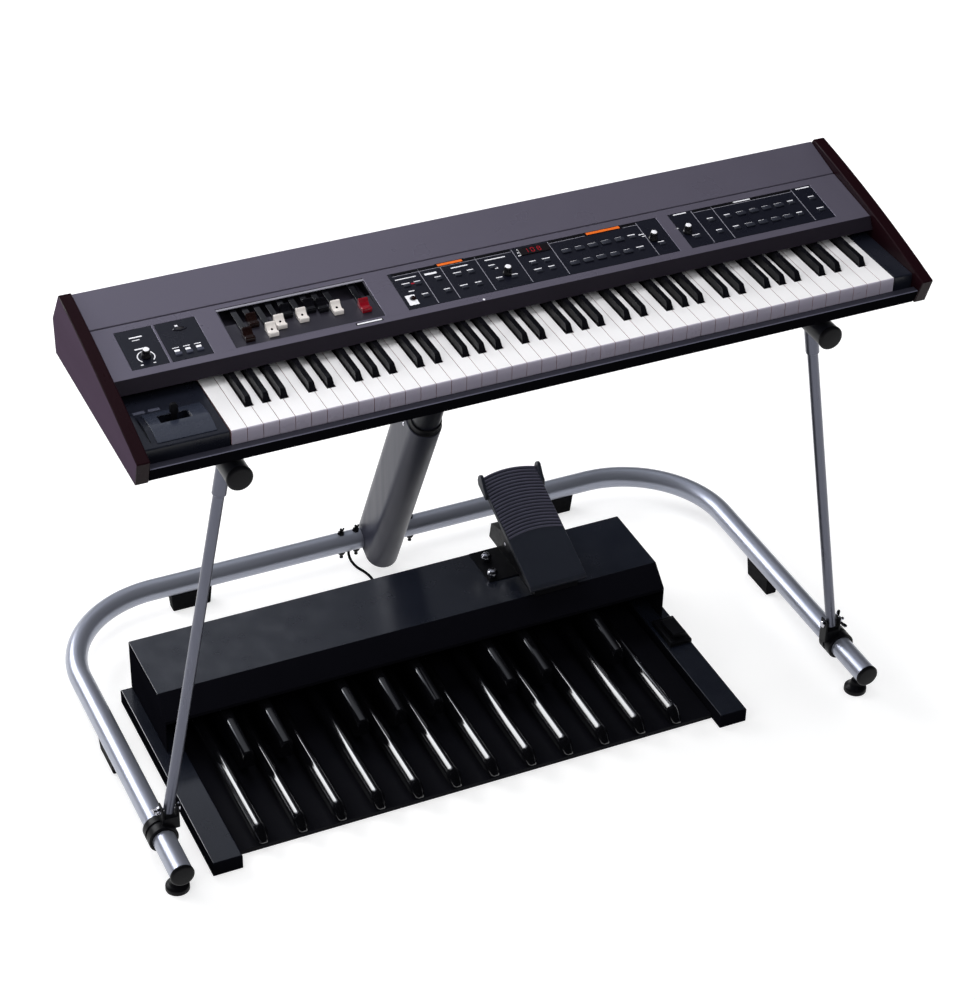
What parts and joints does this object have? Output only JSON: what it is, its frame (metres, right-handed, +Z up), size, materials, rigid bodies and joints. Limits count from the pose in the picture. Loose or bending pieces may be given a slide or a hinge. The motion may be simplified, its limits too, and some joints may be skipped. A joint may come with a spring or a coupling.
{
  "type": "combo organ",
  "caption": "Combo organ keyboard with drawbars, on a leaning single-column floor stand, with a pedalboard, a foot switch and an expression pedal on its top.",
  "frame": {"origin": "on the floor, under the middle of the object's bounding box", "axes": "+X along the keyboard to the player's right, +Y away from the player, +Z up"},
  "size_m": [1.2564, 0.7294, 0.8871],
  "materials": {
    "cheek": "dark satin",
    "case": "satin",
    "rail": "satin",
    "panel": "metallic satin",
    "plate": "satin",
    "natural": "gloss",
    "sharp": "gloss",
    "steel": "plain",
    "block": "satin",
    "well": "satin",
    "button": "satin",
    "knob": "satin",
    "lens": "gloss",
    "brown": "gloss",
    "white": "gloss",
    "red": "gloss",
    "silver": "satin",
    "column": "dark satin",
    "arm": "satin paint",
    "strut": "satin",
    "black": "satin",
    "rubber": "matte",
    "board": "black satin paint",
    "box": "black satin",
    "pedal": "gloss",
    "pedal_rubber": "ribbed"
  },
  "bodies": {
    "organ_and_stand": {"case_tray": "case", "cheek_left": "cheek", "cheek_right": "cheek", "front_rail": "rail", "control_panel": "panel", "rear_panel": "panel", "keybed_frame": "steel", "bender_housing": "block", "key_block_right": "block", "drawbar_tray": "well", "volume_plate": "plate", "sensor_plate": "plate", "voice_plate": "plate", "registration_plate": "plate", "display_lens": "lens", "base_tube_left": "silver", "base_tube_right": "silver", "column": "column", "top_frame": "arm", "strut_left": "strut", "strut_right": "strut", "strut_clamp_left": "black", "strut_clamp_right": "black", "levelling_foot_left": "black", "levelling_foot_right": "black", "pedal_deck": "board", "pedal_block_left": "board", "pedal_block_right": "board", "pedal_box": "box", "foot_switch_base": "black", "expression_base": "black", "pedal_cable": "rubber", "cable_plug": "black"},
    "natural_keys_a": {"natural_keys_a": "natural"},
    "natural_keys_b": {"natural_keys_b": "natural"},
    "sharp_keys": {"sharp_keys": "sharp"},
    "natural_pedals": {"natural_pedals": "pedal"},
    "sharp_pedals": {"sharp_pedals": "pedal"},
    "drawbar_1": {"drawbar_1": "brown"},
    "drawbar_2": {"drawbar_2": "brown"},
    "drawbar_3": {"drawbar_3": "white"},
    "drawbar_4": {"drawbar_4": "white"},
    "drawbar_5": {"drawbar_5": "sharp"},
    "drawbar_6": {"drawbar_6": "white"},
    "drawbar_7": {"drawbar_7": "sharp"},
    "drawbar_8": {"drawbar_8": "sharp"},
    "drawbar_9": {"drawbar_9": "white"},
    "drawbar_red": {"drawbar_red": "red"},
    "bender_yoke": {"bender_yoke": "black"},
    "bender_lever": {"bender_lever": "black"},
    "knob_volume": {"knob_volume": "knob"},
    "knob_organ": {"knob_organ": "knob"},
    "knob_ensemble": {"knob_ensemble": "knob"},
    "knob_effects": {"knob_effects": "knob"},
    "buttons_performance": {"buttons_performance": "button"},
    "buttons_organ": {"buttons_organ": "button"},
    "buttons_ensemble": {"buttons_ensemble": "button"},
    "buttons_registration": {"buttons_registration": "button"},
    "foot_switch_pad": {"foot_switch_pad": "black"},
    "expression_treadle": {"expression_treadle": "pedal_rubber"}
  },
  "joints": [
    {"name": "natural_keys_a_press", "type": "hinge", "parent": "organ_and_stand", "child": "natural_keys_a", "pos_m": [0, -0.1067, 0.7995], "axis": [1, 0, 0], "range_deg": [0, 2.7], "stiffness_Nm_per_rad": 40, "springref_deg": -6.02},
    {"name": "natural_keys_b_press", "type": "hinge", "parent": "organ_and_stand", "child": "natural_keys_b", "pos_m": [0, -0.1067, 0.8042], "axis": [1, 0, 0], "range_deg": [0, 2.7], "stiffness_Nm_per_rad": 40, "springref_deg": -6.02},
    {"name": "sharp_keys_press", "type": "hinge", "parent": "organ_and_stand", "child": "sharp_keys", "pos_m": [0, -0.1067, 0.8089], "axis": [1, 0, 0], "range_deg": [0, 2.7], "stiffness_Nm_per_rad": 20, "springref_deg": -6.02},
    {"name": "natural_pedals_press", "type": "hinge", "parent": "organ_and_stand", "child": "natural_pedals", "pos_m": [-0.0885, 0.0933, 0.03], "axis": [1, 0, 0], "range_deg": [0, 1.3], "stiffness_Nm_per_rad": 120, "springref_deg": -6.02},
    {"name": "sharp_pedals_press", "type": "hinge", "parent": "organ_and_stand", "child": "sharp_pedals", "pos_m": [-0.0885, 0.0933, 0.056], "axis": [1, 0, 0], "range_deg": [0, 2], "stiffness_Nm_per_rad": 60, "springref_deg": -6.02},
    {"name": "drawbar_1_pull", "type": "slide", "parent": "organ_and_stand", "child": "drawbar_1", "axis": [0, -0.9986, -0.0523], "range_m": [-0.036, 0]},
    {"name": "drawbar_2_pull", "type": "slide", "parent": "organ_and_stand", "child": "drawbar_2", "axis": [0, -0.9986, -0.0523], "range_m": [-0.0045, 0.0315]},
    {"name": "drawbar_3_pull", "type": "slide", "parent": "organ_and_stand", "child": "drawbar_3", "axis": [0, -0.9986, -0.0523], "range_m": [-0.036, 0]},
    {"name": "drawbar_4_pull", "type": "slide", "parent": "organ_and_stand", "child": "drawbar_4", "axis": [0, -0.9986, -0.0523], "range_m": [-0.0225, 0.0135]},
    {"name": "drawbar_5_pull", "type": "slide", "parent": "organ_and_stand", "child": "drawbar_5", "axis": [0, -0.9986, -0.0523], "range_m": [0, 0.036]},
    {"name": "drawbar_6_pull", "type": "slide", "parent": "organ_and_stand", "child": "drawbar_6", "axis": [0, -0.9986, -0.0523], "range_m": [-0.018, 0.018]},
    {"name": "drawbar_7_pull", "type": "slide", "parent": "organ_and_stand", "child": "drawbar_7", "axis": [0, -0.9986, -0.0523], "range_m": [0, 0.036]},
    {"name": "drawbar_8_pull", "type": "slide", "parent": "organ_and_stand", "child": "drawbar_8", "axis": [0, -0.9986, -0.0523], "range_m": [-0.0045, 0.0315]},
    {"name": "drawbar_9_pull", "type": "slide", "parent": "organ_and_stand", "child": "drawbar_9", "axis": [0, -0.9986, -0.0523], "range_m": [-0.018, 0.018]},
    {"name": "drawbar_red_pull", "type": "slide", "parent": "organ_and_stand", "child": "drawbar_red", "axis": [0, -0.9986, -0.0523], "range_m": [-0.027, 0.009]},
    {"name": "bender_swing", "type": "hinge", "parent": "organ_and_stand", "child": "bender_yoke", "pos_m": [-0.5462, -0.2732, 0.8005], "axis": [0, 1, 0], "range_deg": [-22, 22], "stiffness_Nm_per_rad": 0.2},
    {"name": "bender_tip", "type": "hinge", "parent": "bender_yoke", "child": "bender_lever", "pos_m": [-0.5462, -0.2732, 0.8005], "axis": [1, 0, 0], "range_deg": [-18, 0], "stiffness_Nm_per_rad": 0.2, "springref_deg": 8.59},
    {"name": "knob_volume_turn", "type": "hinge", "parent": "organ_and_stand", "child": "knob_volume", "pos_m": [-0.5475, -0.16243, 0.84977], "axis": [0, -0.1503, 0.9886], "range_deg": [-150, 150]},
    {"name": "knob_organ_turn", "type": "hinge", "parent": "organ_and_stand", "child": "knob_organ", "pos_m": [0.013, -0.15313, 0.85118], "axis": [0, -0.1503, 0.9886], "range_deg": [-150, 150]},
    {"name": "knob_ensemble_turn", "type": "hinge", "parent": "organ_and_stand", "child": "knob_ensemble", "pos_m": [0.258, -0.14691, 0.85213], "axis": [0, -0.1503, 0.9886], "range_deg": [-150, 150]},
    {"name": "knob_effects_turn", "type": "hinge", "parent": "organ_and_stand", "child": "knob_effects", "pos_m": [0.316, -0.1479, 0.85198], "axis": [0, -0.1503, 0.9886], "range_deg": [-150, 150]},
    {"name": "buttons_performance_press", "type": "slide", "parent": "organ_and_stand", "child": "buttons_performance", "axis": [0, 0.1503, -0.9886], "range_m": [0, 0.001], "stiffness_N_per_m": 1200, "springref_m": -0.002},
    {"name": "buttons_organ_press", "type": "slide", "parent": "organ_and_stand", "child": "buttons_organ", "axis": [0, 0.1503, -0.9886], "range_m": [0, 0.001], "stiffness_N_per_m": 1200, "springref_m": -0.002},
    {"name": "buttons_ensemble_press", "type": "slide", "parent": "organ_and_stand", "child": "buttons_ensemble", "axis": [0, 0.1503, -0.9886], "range_m": [0, 0.001], "stiffness_N_per_m": 1200, "springref_m": -0.002},
    {"name": "buttons_registration_press", "type": "slide", "parent": "organ_and_stand", "child": "buttons_registration", "axis": [0, 0.1503, -0.9886], "range_m": [0, 0.001], "stiffness_N_per_m": 1200, "springref_m": -0.002},
    {"name": "foot_switch_press", "type": "hinge", "parent": "organ_and_stand", "child": "foot_switch_pad", "pos_m": [0.3705, -0.0837, 0.0355], "axis": [1, 0, 0], "range_deg": [0, 3.8], "stiffness_Nm_per_rad": 1, "springref_deg": -5.73},
    {"name": "expression_rock", "type": "hinge", "parent": "organ_and_stand", "child": "expression_treadle", "pos_m": [0.182, 0.0683, 0.168], "axis": [1, 0, 0], "range_deg": [-21, 0]}
  ]
}
